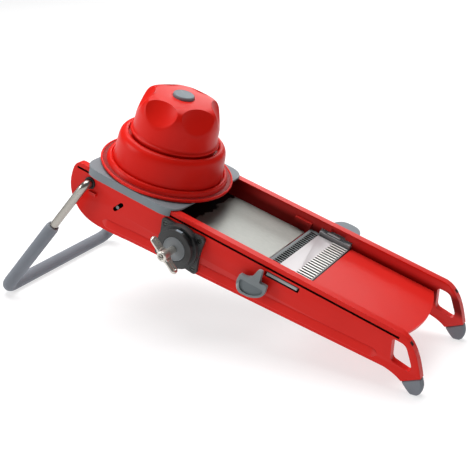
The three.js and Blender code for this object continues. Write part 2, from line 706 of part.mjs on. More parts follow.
// The guard stands on the carriage; its spigot hangs through the carriage's hole below it.
const springSeat = guardSeat + 2.8;
const springLedge = guardSeat + 0.6;
add("bell_guard", turned([
  [spigotRadius - 1.5, guardSeat],
  [guardRadius - 1.4, guardSeat],
  [guardRadius, guardSeat + 1.2],
  [guardRadius, guardSeat + 3.3],
  [guardRadius - 3.3, guardSeat + 3.6],
  [guardRadius - 4.1, guardSeat + 3.2],
  [guardRadius - 5.3, guardSeat + 3.7],
  [guardRadius - 8.3, guardSeat + 4.4],
  [guardRadius - 9, guardSeat + 6.6],
  [guardRadius - 10.5, guardSeat + 7.8],
  [guardInner + 5.6, guardSeat + 8.8],
  [guardInner + 5.4, guardSeat + 11.2],
  [guardInner + 3.7, guardShoulder - 7.8],
  [guardInner + 2.4, guardShoulder - 3.8],
  [guardInner - 0.6, guardShoulder - 1],
  [guardOpening + 1.6, guardShoulder],
  [guardOpening, guardShoulder],
  [guardOpening, flangeHeight + 0.6],
  [guardInner, flangeHeight + 0.6],
  [guardInner + 0.8, guardSeat + 13.2],
  [guardInner + 0.8, springSeat],
  [spigotRadius - 1.5, springSeat],
  [spigotRadius - 1.5, guardSeat],
]), redPlastic);
add("guard_spigot", turned([
  [spigotBore, 5],
  [spigotRadius, 5],
  [spigotRadius, guardSeat - gap],
  [spigotRadius - 1.5 - gap, guardSeat - gap],
  [spigotRadius - 1.5 - gap, springLedge],
  [spigotBore, springLedge],
  [spigotBore, 5],
]), redPlastic);

const ringTop = carriageBottom - gap;
add("retaining_ring", turned([
  [spigotRadius + gap, ringTop - 2.6],
  [innerY - 1.2, ringTop - 2.6],
  [innerY - 1.2, ringTop],
  [spigotRadius + gap, ringTop],
  [spigotRadius + gap, ringTop - 2.6],
]), blackPlastic);

const plungerBore = plungerRodRadius + gap;
const rodBoss = plungerRodRadius + 5;
let plunger = turned([
  [plungerRadius - plungerWall, flangeHeight - 2],
  [flangeRadius, flangeHeight - 2],
  [flangeRadius, flangeHeight],
  [plungerRadius, flangeHeight],
  [plungerRadius, guardShoulder + 0.2],
  [plungerFoot, guardShoulder + 1],
  [plungerFoot, guardShoulder + 2.6],
  [plungerRadius, guardShoulder + 3.8],
  [plungerRadius - 0.4, plungerTop - 15],
  [plungerRadius - 1.9, plungerTop - 9],
  [plungerRadius - 5.3, plungerTop - 3.6],
  [plungerRadius - 11.3, plungerTop - 1],
  [capRadius + 7.4, plungerTop],
  [plungerBore, plungerTop],
  [plungerBore, plungerTop - 17],
  [rodBoss, plungerTop - 17],
  [rodBoss, plungerTop - 9],
  [plungerRadius - 16.3, plungerTop - 11],
  [plungerRadius - 11.3, plungerTop - 17],
  [plungerRadius - 8.3, plungerTop - 27],
  [plungerRadius - plungerWall, plungerTop - 31],
  [plungerRadius - plungerWall, flangeHeight - 2],
]);
for (let i = 0; i < scoops; i++) {
  const angle = (2 * Math.PI * (i + 0.5)) / scoops;
  const egg = new THREE.SphereGeometry(1, 32, 20).scale(scoop.deep, scoop.wide, scoop.long)
    .rotateY(THREE.MathUtils.degToRad(-scoopLean))
    .translate(scoopReach, 0, plungerTop - scoopBelow).rotateZ(angle);
  plunger = plunger.subtract(solid(egg));
}
plunger = plunger.subtract(barZ(capRadius + gap, plungerTop - 1.2, plungerTop + 3, 0, 0, 24));
add("plunger", plunger, redPlastic);

add("plunger_cap", turned([
  [0, plungerTop - 1.2 + gap],
  [capRadius, plungerTop - 1.2 + gap],
  [capRadius, capTop - 0.8],
  [capRadius - 0.8, capTop],
  [0, capTop],
], 24), greyPlastic);

const discTop = discHeight + 3;
add("plunger_rod", barZ(plungerRodRadius, discTop + gap, plungerTop - 1.6, 0, 0, 16), brushedSteel);

const discEdge = plungerRadius - plungerWall - 1.3;
let prongDisc = barZ(discEdge, discHeight, discTop, 0, 0, 32);
const prongRings = [[0, 1], [0.39 * discEdge, 6], [0.76 * discEdge, 10]];
prongRings.forEach(([radius, count]) => {
  for (let i = 0; i < count; i++) {
    const angle = (2 * Math.PI * i) / count;
    prongDisc = prongDisc.add(barZ(1.7, discHeight - prongLength, discHeight + 1,
      radius * Math.cos(angle), radius * Math.sin(angle), 8, 0.5));
  }
});
add("prong_disc", prongDisc, blackPlastic);

// Return spring in the ring-shaped space between guard and plunger.
const springBottom = springSeat + gap + springWire;
const springTop = flangeHeight - 2 - gap - springWire;
const springRadius = (spigotBore + guardInner) / 2;
const springStations = Array.from({ length: springTurns * 12 + 1 }, (_, i) => {
  const angle = (2 * Math.PI * i) / 12;
  const rise = (springTop - springBottom) * (i / (springTurns * 12));
  return new THREE.Vector3(springRadius * Math.cos(angle), springRadius * Math.sin(angle),
    springBottom + rise);
});
add("return_spring", swept(springStations, springWire, 6), brushedSteel);

// ---- stand it on the floor ----------------------------------------------------------------------
body.updateMatrixWorld(true);
const bounds = new THREE.Box3().setFromObject(body, true);
const middle = bounds.getCenter(new THREE.Vector3());
body.position.set(-middle.x, -middle.y, -bounds.min.z);

const mandoline = new THREE.Group();
mandoline.add(body);

export default mandoline;
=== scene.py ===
# Mandoline slicer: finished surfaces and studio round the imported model.
import json
from math import cos, radians, sin

import bmesh
import bpy
import numpy as np
from mathutils import Matrix, Vector


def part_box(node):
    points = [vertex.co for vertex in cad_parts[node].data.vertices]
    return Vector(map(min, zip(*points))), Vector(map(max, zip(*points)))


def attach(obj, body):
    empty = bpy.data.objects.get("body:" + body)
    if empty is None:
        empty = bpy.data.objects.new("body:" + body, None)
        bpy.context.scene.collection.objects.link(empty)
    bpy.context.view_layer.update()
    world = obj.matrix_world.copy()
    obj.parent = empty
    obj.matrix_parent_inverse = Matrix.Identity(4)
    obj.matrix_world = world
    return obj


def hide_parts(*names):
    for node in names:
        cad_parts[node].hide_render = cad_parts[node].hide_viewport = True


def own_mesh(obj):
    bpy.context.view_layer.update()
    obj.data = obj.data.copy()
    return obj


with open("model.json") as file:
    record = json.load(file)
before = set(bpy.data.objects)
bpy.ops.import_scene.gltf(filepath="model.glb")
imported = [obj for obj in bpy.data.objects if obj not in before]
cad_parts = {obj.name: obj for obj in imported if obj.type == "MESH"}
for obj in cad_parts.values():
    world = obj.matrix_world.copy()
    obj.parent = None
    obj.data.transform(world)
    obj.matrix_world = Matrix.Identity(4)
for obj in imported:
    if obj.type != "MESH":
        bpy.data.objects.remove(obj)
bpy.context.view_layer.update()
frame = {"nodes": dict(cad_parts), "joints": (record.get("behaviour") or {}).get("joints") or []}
print("frame loaded")

# ---- the slicer's own axes: x down the slide, y across, z up from the tray, in millimetres ----
joints = {joint["name"]: joint for joint in frame["joints"]}
alongSlide = np.array(joints["pusher_slide"]["axis"])
awayFromKnob = np.array([0.0, 1.0, 0.0])
offTray = np.array(joints["pusher_turn"]["axis"])
pusherAxisHeight = 30.0  # the turn joint is stated this far over the tray
slicerOrigin = np.array(joints["pusher_turn"]["pos_m"]) - offTray * pusherAxisHeight / 1000
slicerAxes = np.stack([alongSlide, awayFromKnob, offTray])

body = {"outerY": 62.5, "wall": 7.8}
body["innerY"] = body["outerY"] - body["wall"]


# Points in the slicer's millimetres, any shape ending in 3, to metres in the frame.
def placed(points):
    return np.asarray(points, float) @ slicerAxes / 1000 + slicerOrigin


# ---- camera ----
view = {
    "place": (417.3, -751.0, 447.3),  # slicer millimetres
    "ahead": (-0.346, 0.799, -0.492),
    "right": (0.830, 0.505, 0.237),
    "lens": 72.3,
    "sensor": 36.0,
}


def addCamera():
    data = bpy.data.cameras.new("studioCamera")
    data.lens, data.sensor_width = view["lens"], view["sensor"]
    camera = bpy.data.objects.new("studioCamera", data)
    ahead = Vector(np.array(view["ahead"]) @ slicerAxes).normalized()
    right = Vector(np.array(view["right"]) @ slicerAxes)
    right = (right - ahead * right.dot(ahead)).normalized()
    upward = right.cross(ahead)
    turn = Matrix((right, upward, -ahead)).transposed().to_4x4()
    camera.matrix_world = Matrix.Translation(Vector(placed(view["place"]))) @ turn
    bpy.context.scene.collection.objects.link(camera)
    bpy.context.scene.camera = camera


addCamera()
print("camera set")


# ---- shader node groups ----
def newGroup(name, inputs, outputs):
    group = bpy.data.node_groups.new(name, "ShaderNodeTree")
    for label, kind, value in inputs:
        socket = group.interface.new_socket(name=label, in_out="INPUT", socket_type=kind)
        socket.default_value = value
    for label, kind in outputs:
        group.interface.new_socket(name=label, in_out="OUTPUT", socket_type=kind)
    return group, group.nodes.new("NodeGroupInput"), group.nodes.new("NodeGroupOutput")


def addNode(tree, kind, links=(), **settings):
    node = tree.nodes.new(kind)
    for key, value in settings.items():
        setattr(node, key, value)
    for socket, source in links:
        if isinstance(source, bpy.types.NodeSocket):
            tree.links.new(source, node.inputs[socket])
        else:
            node.inputs[socket].default_value = source
    return node


# Slow drift of tone over a surface: large soft noise moves between two tones. Sharp edges are then lightened
# towards white by pointiness, a painted edge highlight.
def makeToneDrift():
    group, given, out = newGroup(
        "toneDrift",
        [("Tone", "NodeSocketColor", (0.5, 0.5, 0.5, 1)), ("Deep", "NodeSocketColor", (0.4, 0.4, 0.4, 1)),
         ("Scale", "NodeSocketFloat", 20.0), ("EdgeHighlight", "NodeSocketFloat", 0.3)],
        [("Color", "NodeSocketColor")])
    place = addNode(group, "ShaderNodeTexCoord")
    noise = addNode(group, "ShaderNodeTexNoise", [
        ("Vector", place.outputs["Object"]), ("Scale", given.outputs["Scale"]),
        ("Detail", 3.0), ("Roughness", 0.5)])
    spread = addNode(group, "ShaderNodeMapRange", [
        ("Value", noise.outputs["Fac"]), ("From Min", 0.3), ("From Max", 0.7)])
    tone = addNode(group, "ShaderNodeMix", [
        (0, spread.outputs["Result"]), (6, given.outputs["Deep"]), (7, given.outputs["Tone"])],
        data_type="RGBA")
    # painted highlight: pointiness lightens the sharp edges towards white, by the given amount
    shape = addNode(group, "ShaderNodeNewGeometry")
    edge = addNode(group, "ShaderNodeMapRange", [
        ("Value", shape.outputs["Pointiness"]), ("From Min", 0.51), ("From Max", 0.6)])
    amount = addNode(group, "ShaderNodeMath", [
        (0, edge.outputs["Result"]), (1, given.outputs["EdgeHighlight"])], operation="MULTIPLY")
    lighter = addNode(group, "ShaderNodeMix", [
        (0, amount.outputs["Value"]), (6, tone.outputs[2]), (7, (1.0, 1.0, 1.0, 1.0))],
        data_type="RGBA")
    group.links.new(lighter.outputs[2], out.inputs["Color"])
    return group


# Fine moulded or cast texture: two noises added, as a height and as a change of roughness.
def makeFineGrain():
    group, given, out = newGroup(
        "fineGrain",
        [("Scale", "NodeSocketFloat", 1500.0), ("Rough", "NodeSocketFloat", 0.4),
         ("Swing", "NodeSocketFloat", 0.08)],
        [("Height", "NodeSocketFloat"), ("Roughness", "NodeSocketFloat")])
    place = addNode(group, "ShaderNodeTexCoord")
    fine = addNode(group, "ShaderNodeTexNoise", [
        ("Vector", place.outputs["Object"]), ("Scale", given.outputs["Scale"]),
        ("Detail", 4.0), ("Roughness", 0.6)])
    broad = addNode(group, "ShaderNodeTexNoise", [
        ("Vector", place.outputs["Object"]), ("Scale", 35.0), ("Detail", 2.0)])
    centred = addNode(group, "ShaderNodeMath", [
        (0, broad.outputs["Fac"]), (1, 0.5)], operation="SUBTRACT")
    swing = addNode(group, "ShaderNodeMath", [
        (0, centred.outputs["Value"]), (1, given.outputs["Swing"])], operation="MULTIPLY")
    rough = addNode(group, "ShaderNodeMath", [
        (0, swing.outputs["Value"]), (1, given.outputs["Rough"])], operation="ADD")
    group.links.new(fine.outputs["Fac"], out.inputs["Height"])
    group.links.new(rough.outputs["Value"], out.inputs["Roughness"])
    return group


# Brushed metal: noise stretched along one direction, as height, roughness and a tone mask.
def makeBrushLines():
    group, given, out = newGroup(
        "brushLines",
        [("Stretch", "NodeSocketVector", (20.0, 1500.0, 1500.0)), ("Rough", "NodeSocketFloat", 0.3),
         ("Swing", "NodeSocketFloat", 0.2)],
        [("Height", "NodeSocketFloat"), ("Roughness", "NodeSocketFloat"), ("Mask", "NodeSocketFloat")])
    place = addNode(group, "ShaderNodeTexCoord")
    stretched = addNode(group, "ShaderNodeVectorMath", [
        (0, place.outputs["Object"]), (1, given.outputs["Stretch"])], operation="MULTIPLY")
    lines = addNode(group, "ShaderNodeTexNoise", [
        ("Vector", stretched.outputs["Vector"]), ("Scale", 1.0), ("Detail", 5.0), ("Roughness", 0.65)])
    centred = addNode(group, "ShaderNodeMath", [
        (0, lines.outputs["Fac"]), (1, 0.5)], operation="SUBTRACT")
    swing = addNode(group, "ShaderNodeMath", [
        (0, centred.outputs["Value"]), (1, given.outputs["Swing"])], operation="MULTIPLY")
    rough = addNode(group, "ShaderNodeMath", [
        (0, swing.outputs["Value"]), (1, given.outputs["Rough"])], operation="ADD")
    group.links.new(lines.outputs["Fac"], out.inputs["Height"])
    group.links.new(rough.outputs["Value"], out.inputs["Roughness"])
    group.links.new(lines.outputs["Fac"], out.inputs["Mask"])
    return group


# Where the surface lies in the slicer's millimetres: the place less the origin, along each axis.
def makeSlicerPlace():
    group, given, out = newGroup("slicerPlace", [], [
        ("Along", "NodeSocketFloat"), ("Across", "NodeSocketFloat"), ("Over", "NodeSocketFloat"),
        ("Outward", "NodeSocketFloat")])
    place = addNode(group, "ShaderNodeTexCoord")
    apart = addNode(group, "ShaderNodeVectorMath", [
        (0, place.outputs["Object"]), (1, tuple(slicerOrigin))], operation="SUBTRACT")
    parts = [addNode(group, "ShaderNodeVectorMath", [
        (0, apart.outputs["Vector"]), (1, tuple(axis * 1000))], operation="DOT_PRODUCT")
        for axis in slicerAxes]
    outward = addNode(group, "ShaderNodeMath", [(0, parts[1].outputs["Value"])], operation="ABSOLUTE")
    for name, part in zip(("Along", "Across", "Over"), parts):
        group.links.new(part.outputs["Value"], out.inputs[name])
    group.links.new(outward.outputs["Value"], out.inputs["Outward"])
    return group


# One between two limits and nought outside, with a soft step of the given half width at each.
def makeBand():
    group, given, out = newGroup("band", [
        ("Value", "NodeSocketFloat", 0.0), ("Low", "NodeSocketFloat", 0.0),
        ("High", "NodeSocketFloat", 1.0), ("Soft", "NodeSocketFloat", 0.1)],
        [("Mask", "NodeSocketFloat")])
    steps = []
    for limit in ("Low", "High"):
        start = addNode(group, "ShaderNodeMath", [
            (0, given.outputs[limit]), (1, given.outputs["Soft"])], operation="SUBTRACT")
        end = addNode(group, "ShaderNodeMath", [
            (0, given.outputs[limit]), (1, given.outputs["Soft"])], operation="ADD")
        steps.append(addNode(group, "ShaderNodeMapRange", [
            ("Value", given.outputs["Value"]), ("From Min", start.outputs["Value"]),
            ("From Max", end.outputs["Value"])], interpolation_type="SMOOTHSTEP"))
    mask = addNode(group, "ShaderNodeMath", [
        (0, steps[0].outputs["Result"]), (1, steps[1].outputs["Result"])], operation="SUBTRACT")
    group.links.new(mask.outputs["Value"], out.inputs["Mask"])
    return group


# Blotches from two noises, one broad and one fine, added in unequal parts; they make the edges of the
# plate's painted reflection ragged.
def makeMottle():
    group, given, out = newGroup("mottle", [("Scale", "NodeSocketFloat", 60.0)],
                                 [("Amount", "NodeSocketFloat")])
    place = addNode(group, "ShaderNodeTexCoord")
    broad, fine = [addNode(group, "ShaderNodeTexNoise", [
        ("Vector", place.outputs["Object"]), ("Scale", given.outputs["Scale"]), ("Detail", detail),
        ("Roughness", 0.6)]) for detail in (2.0, 8.0)]
    amount = addNode(group, "ShaderNodeMix", [
        (0, 0.6), (2, broad.outputs["Fac"]), (3, fine.outputs["Fac"])])
    group.links.new(amount.outputs[0], out.inputs["Amount"])
    return group


toneDrift, fineGrain, brushLines = makeToneDrift(), makeFineGrain(), makeBrushLines()
slicerPlace, band, mottle = makeSlicerPlace(), makeBand(), makeMottle()


def addGroup(tree, group, values=()):
    node = addNode(tree, "ShaderNodeGroup", node_tree=group)
    for socket, value in values:
        node.inputs[socket].default_value = value
    return node


def newMaterial(name, **constants):
    material = bpy.data.materials.new(name)
    material.use_nodes = True
    shader = material.node_tree.nodes["Principled BSDF"]
    for socket, value in constants.items():
        shader.inputs[socket.replace("_", " ")].default_value = value
    return material, material.node_tree, shader


# Lays another tone over a material's colour inside bands of the slicer's own millimetres: painted shade,
# painted reflection and painted highlight at fixed places.
def layPaintedLight(material, tone, bands, wander=0.0, wanderScale=60.0):
    tree = material.node_tree
    shader = tree.nodes["Principled BSDF"]
    place = addGroup(tree, slicerPlace)
    mask = None
    for name, low, high, soft in bands:
        value = place.outputs[name]
        if wander:
            blotches = addGroup(tree, mottle, [("Scale", wanderScale)])
            moved = addNode(tree, "ShaderNodeMath", [
                (0, blotches.outputs["Amount"]), (1, wander), (2, value)], operation="MULTIPLY_ADD")
            value = moved.outputs[0]
        part = addGroup(tree, band, [("Low", low), ("High", high), ("Soft", soft)])
        tree.links.new(value, part.inputs["Value"])
        mask = part.outputs["Mask"] if mask is None else addNode(tree, "ShaderNodeMath", [
            (0, mask), (1, part.outputs["Mask"])], operation="MULTIPLY").outputs["Value"]
    before = shader.inputs["Base Color"].links[0].from_socket
    laid = addNode(tree, "ShaderNodeMix", [(0, mask), (6, before), (7, (*tone, 1))], data_type="RGBA")
    tree.links.new(laid.outputs[2], shader.inputs["Base Color"])
    return material


def addBump(tree, shader, height, depth, strength=1.0):
    bump = addNode(tree, "ShaderNodeBump", [
        ("Height", height), ("Distance", depth), ("Strength", strength)])
    tree.links.new(bump.outputs["Normal"], shader.inputs["Normal"])


# Moulded plastic or rubber from a tone, a deeper tone, a painted edge highlight, a grain and a gloss.
def moulded(name, look, **constants):
    material, tree, shader = newMaterial(name, **constants)
    tone = addGroup(tree, toneDrift, [
        ("Tone", (*look["tone"], 1)), ("Deep", (*look["deep"], 1)),
        ("Scale", look["drift"]), ("EdgeHighlight", look["edge"])])
    grain = addGroup(tree, fineGrain, [
        ("Scale", look["grain"]), ("Rough", look["rough"]), ("Swing", look["swing"])])
    tree.links.new(tone.outputs["Color"], shader.inputs["Base Color"])
    tree.links.new(grain.outputs["Roughness"], shader.inputs["Roughness"])
    addBump(tree, shader, grain.outputs["Height"], look["depth"])
    return material


# Steel whose tone and roughness follow its brush lines.
def brushed(name, look):
    material, tree, shader = newMaterial(name, Metallic=look["metal"])
    lines = addGroup(tree, brushLines, [
        ("Stretch", look["stretch"]), ("Rough", look["rough"]), ("Swing", look["swing"])])
    tone = addNode(tree, "ShaderNodeMix", [
        (0, lines.outputs["Mask"]), (6, (*look["deep"], 1)), (7, (*look["tone"], 1))],
        data_type="RGBA")
    tree.links.new(tone.outputs[2], shader.inputs["Base Color"])
    tree.links.new(lines.outputs["Roughness"], shader.inputs["Roughness"])
    addBump(tree, shader, lines.outputs["Height"], look["depth"])
    return material


# each look's edge highlight value sets the strength of its painted edge highlight
looks = {
    "red": {"tone": (0.72, 0.012, 0.006), "deep": (0.66, 0.009, 0.004), "drift": 14.0, "edge": 0.03,
            "grain": 2200.0, "rough": 0.36, "swing": 0.10, "depth": 0.00002},
    "rough red": {"tone": (0.42, 0.004, 0.002), "deep": (0.16, 0.002, 0.001), "drift": 900.0,
                  "edge": 0.0, "grain": 1400.0, "rough": 0.5, "swing": 0.10, "depth": 0.0002},
    "grey": {"tone": (0.205, 0.235, 0.258), "deep": (0.18, 0.207, 0.229), "drift": 30.0, "edge": 0.08,
             "grain": 3000.0, "rough": 0.55, "swing": 0.12, "depth": 0.00003},
    "lever": {"tone": (0.15, 0.175, 0.185), "deep": (0.13, 0.152, 0.162), "drift": 30.0, "edge": 0.3,
              "grain": 3000.0, "rough": 0.55, "swing": 0.12, "depth": 0.00003},
    "latch": {"tone": (0.085, 0.100, 0.108), "deep": (0.055, 0.066, 0.072), "drift": 60.0, "edge": 0.6,
              "grain": 3000.0, "rough": 0.5, "swing": 0.12, "depth": 0.00003},
    "rubber": {"tone": (0.215, 0.232, 0.262), "deep": (0.185, 0.200, 0.228), "drift": 24.0, "edge": 0.06,
               "grain": 2600.0, "rough": 0.78, "swing": 0.12, "depth": 0.00004},
    "dial": {"tone": (0.185, 0.20, 0.21), "deep": (0.17, 0.185, 0.195), "drift": 40.0, "edge": 0.1,
             "grain": 3500.0, "rough": 0.5, "swing": 0.1, "depth": 0.00002},
    "black": {"tone": (0.011, 0.012, 0.0125), "deep": (0.007, 0.008, 0.0085), "drift": 40.0, "edge": 0.04,
              "grain": 3200.0, "rough": 0.42, "swing": 0.14, "depth": 0.00003},
    "window": {"tone": (0.35, 0.40, 0.45), "deep": (0.25, 0.30, 0.35), "drift": 40.0, "edge": 0.0,
               "grain": 3200.0, "rough": 0.15, "swing": 0.1, "depth": 0.00001},
    "plate": {"tone": (0.47, 0.48, 0.445), "deep": (0.33, 0.34, 0.315), "metal": 0.35,
              "stretch": (110.0, 500.0, 500.0), "rough": 0.42, "swing": 0.25, "depth": 0.000006},
    "blade": {"tone": (0.56, 0.535, 0.545), "deep": (0.49, 0.465, 0.475), "metal": 0.3,
              "stretch": (1800.0, 40.0, 1800.0), "rough": 0.40, "swing": 0.22, "depth": 0.000003},
    "bright": {"tone": (0.50, 0.475, 0.43), "deep": (0.30, 0.285, 0.26), "metal": 1.0,
               "stretch": (700.0, 700.0, 700.0), "rough": 0.30, "swing": 0.2, "depth": 0.00001},
    "screw": {"tone": (0.10, 0.105, 0.10), "deep": (0.03, 0.032, 0.03), "metal": 0.9,
              "stretch": (700.0, 700.0, 700.0), "rough": 0.25, "swing": 0.2, "depth": 0.00001},
}
redPlastic = moulded("redPlastic", looks["red"], Specular_IOR_Level=0.13)
# The walls' red, with painted shade laid at fixed places by the loop below.
wallRedPaintedShade = moulded("wallRedPaintedShade", looks["red"], Specular_IOR_Level=0.13)
for shadeTone, shadeBands in (
    # painted shade, as darker and near-black tones: in the long groove, in the pin slot, over the lower and
    # the rear part of the inner face, and round the latch's gap
    ((0.012, 0.0005, 0.0004), [("Over", 7.2, 9.6, 0.1), ("Outward", 58.0, 62.35, 0.08)]),
    ((0.004, 0.002, 0.002), [("Along", -16.0, -1.0, 0.1), ("Over", -19.0, -3.0, 0.1),
                             ("Outward", 50.0, 62.3, 0.08)]),
    ((0.20, 0.002, 0.001), [("Outward", 50.0, 55.0, 0.1), ("Over", -12.0, 5.0, 4.0)]),
    ((0.16, 0.0015, 0.001), [("Outward", 50.0, 55.0, 0.1), ("Along", -60.0, 78.0, 26.0),
                             ("Over", -12.0, 13.0, 1.0)]),
    ((0.003, 0.003, 0.003), [("Along", 158.4, 192.9, 0.1), ("Over", -0.3, 5.3, 0.1),
                             ("Across", -63.0, -55.2, 0.1)]),
):
    layPaintedLight(wallRedPaintedShade, shadeTone, shadeBands)
# The tray's red, with a near-black band of painted shade along its front edge for the shaded gap beside the
# blade's end.
trayRedPaintedShade = layPaintedLight(moulded("trayRedPaintedShade", looks["red"], Specular_IOR_Level=0.16), (0.02, 0.002, 0.002), [
    ("Along", 190.0, 194.4, 0.15)])
# A near-black copy of the red for the middle cross member: painted shade for the shadow it sits in.
shadedRed = moulded("shadedRed", {
    **looks["red"], "tone": (0.02, 0.001, 0.001), "deep": (0.01, 0.001, 0.001)})
guardRed = moulded("guardRed", looks["red"], Specular_IOR_Level=0.12)
# The flat ring's red is darker than the rest: partly the textured ring's own tone, partly painted shade.
ringRed = moulded("ringRed", looks["rough red"], Specular_IOR_Level=0.2)
greyPlastic = moulded("greyPlastic", looks["grey"], Specular_IOR_Level=0.3)
leverGrey = moulded("leverGrey", looks["lever"], Specular_IOR_Level=0.3)
latchGrey = moulded("latchGrey", looks["latch"], Specular_IOR_Level=0.4)
# The comb bed's grey, near black below its top face: painted shade in the slots and under the bed.
combGreyPaintedShade = layPaintedLight(moulded("combGreyPaintedShade", looks["lever"]), (0.006, 0.006, 0.006), [("Over", -3.0, -0.22, 0.05)])
greyRubber = moulded("greyRubber", looks["rubber"], Specular_IOR_Level=0.25)
blackPlastic = moulded("blackPlastic", looks["black"], Specular_IOR_Level=0.3)
# Plate steel with painted reflection and shade: a blotchy darker tone over the rear, then a near-black zone
# with a ragged edge, for the bell's dark underside reflected in the plate and its shadow; both stay in place
# when the pusher slides.
plateSteelPaintedReflection = layPaintedLight(brushed("plateSteelPaintedReflection", looks["plate"]), (0.34, 0.35, 0.325),
                     [("Along", 0.0, 90.0, 30.0)], wander=60.0, wanderScale=90.0)
layPaintedLight(plateSteelPaintedReflection, (0.012, 0.012, 0.012), [("Along", -90.0, 67.0, 1.2)], wander=22.0, wanderScale=75.0)
# Blade steel with painted light: near black below its top face, and over its whole height from 176.2 to 192
# along the slide, as painted shade; near white from 0.3 to 2 mm over the tray, as a painted highlight.
bladeSteelPaintedLight = layPaintedLight(brushed("bladeSteelPaintedLight", looks["blade"]), (0.010, 0.012, 0.011),
                     [("Over", -4.0, -0.12, 0.05)])
layPaintedLight(bladeSteelPaintedLight, (0.010, 0.014, 0.012), [("Over", -4.0, 0.3, 0.05), ("Along", 176.2, 192.0, 1.2)])
layPaintedLight(bladeSteelPaintedLight, (0.86, 0.85, 0.82), [("Over", 0.3, 2.0, 0.05)])
brightSteel = brushed("brightSteel", looks["bright"])
handleSteel = brushed("handleSteel", {
    **looks["bright"], "tone": (0.80, 0.77, 0.71), "deep": (0.50, 0.48, 0.44), "metal": 0.85})
screwSteel = brushed("screwSteel", looks["screw"])
pinSteel = brushed("pinSteel", {**looks["screw"], "tone": (0.22, 0.22, 0.22), "deep": (0.1, 0.1, 0.1)})
dialGrey = moulded("dialGrey", looks["dial"], Specular_IOR_Level=0.3)
windowPlastic = moulded("windowPlastic", looks["window"], Coat_Weight=0.4)
print("materials made")


# ---- mesh helpers ----
# Gives a piece its material, shading and body, and hides the CAD nodes it stands for.
def finishPiece(piece, bodyName, material, nodes=(), sharpAngle=38.0):
    piece.data.materials.clear()
    piece.data.materials.append(material)
    piece.data.shade_smooth()
    piece.data.set_sharp_from_angle(angle=radians(sharpAngle))
    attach(piece, bodyName)
    if nodes:
        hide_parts(*nodes)
    return piece


# A mesh object from points in the slicer's millimetres, with its faces turned outwards.
def newPiece(name, points, faces):
    mesh = bpy.data.meshes.new(name)
    mesh.from_pydata(placed(points).tolist(), [], faces)
    working = bmesh.new()
    working.from_mesh(mesh)
    bmesh.ops.recalc_face_normals(working, faces=working.faces)
    working.to_mesh(mesh)
    working.free()
    piece = bpy.data.objects.new(name, mesh)
    bpy.context.scene.collection.objects.link(piece)
    return piece


# Faces of a rows x columns grid; either way may close on itself, and open ends take one face each.
def gridFaces(rows, columns, closeRows=False, closeColumns=True, capEnds=False, start=0):
    index = np.arange(rows * columns).reshape(rows, columns) + start
    below = index if closeRows else index[:-1]
    above = np.roll(index, -1, axis=0) if closeRows else index[1:]
    left, leftUp = (below, above) if closeColumns else (below[:, :-1], above[:, :-1])
    right = np.roll(below, -1, axis=1) if closeColumns else below[:, 1:]
    rightUp = np.roll(above, -1, axis=1) if closeColumns else above[:, 1:]
    faces = np.stack([left, right, rightUp, leftUp], axis=-1).reshape(-1, 4).tolist()
    if capEnds:
        faces += [index[0][::-1].tolist(), index[-1].tolist()]
    return faces


# A polygon of [a, b, radius] corners with each corner turned by a curve of that radius.
def softCorners(corners, steps=6, closed=True):
    corners = np.asarray(corners, float)
    points, radius = corners[:, :2], corners[:, 2]
    back, ahead = np.roll(points, 1, axis=0) - points, np.roll(points, -1, axis=0) - points
    backLength, aheadLength = np.linalg.norm(back, axis=1), np.linalg.norm(ahead, axis=1)
    reach = np.minimum(radius, 0.49 * np.minimum(backLength, aheadLength))
    if not closed:
        reach[0] = reach[-1] = 0
    enter = points + back * (reach / backLength)[:, None]
    leave = points + ahead * (reach / aheadLength)[:, None]
    t = np.linspace(0, 1, steps)[None, :, None]
    curve = (1 - t) ** 2 * enter[:, None] + 2 * t * (1 - t) * points[:, None] + t ** 2 * leave[:, None]
    curve = curve.reshape(-1, 2)
    keep = np.ones(len(curve), bool)
    keep[1:] = np.linalg.norm(np.diff(curve, axis=0), axis=1) > 1e-4
    return curve[keep]


# A profile of radius and height carried round the z axis through (x, y).
def turnedGrid(profile, sides, x=0.0, y=0.0):
    turn = np.linspace(0, 2 * np.pi, sides, endpoint=False)
    radius, height = profile[:, 0, None], profile[:, 1, None]
    return np.stack([x + radius * np.cos(turn), y + radius * np.sin(turn),
                     height + 0 * turn], axis=-1)


# A profile of radius and depth carried round an axis along y through (x, z).
def turnedAcross(profile, sides, axis):
    turn = np.linspace(0, 2 * np.pi, sides, endpoint=False)
    radius, depth = profile[:, 0, None], profile[:, 1, None]
    return np.stack([axis[0] + radius * np.cos(turn), depth + 0 * turn,
                     axis[1] + radius * np.sin(turn)], axis=-1)


# A closed ring-shaped solid from a closed profile.
def turnedPiece(name, profile, sides=128, axis=None):
    grid = turnedGrid(profile, sides) if axis is None else turnedAcross(profile, sides, axis)
    return newPiece(name, grid.reshape(-1, 3), gridFaces(len(profile), sides, closeRows=True))


# A solid disc from an open profile that starts and ends near its axis.
def discPiece(name, profile, sides=64, axis=None):
    grid = turnedGrid(profile, sides) if axis is None else turnedAcross(profile, sides, axis)
    return newPiece(name, grid.reshape(-1, 3), gridFaces(len(profile), sides, capEnds=True))


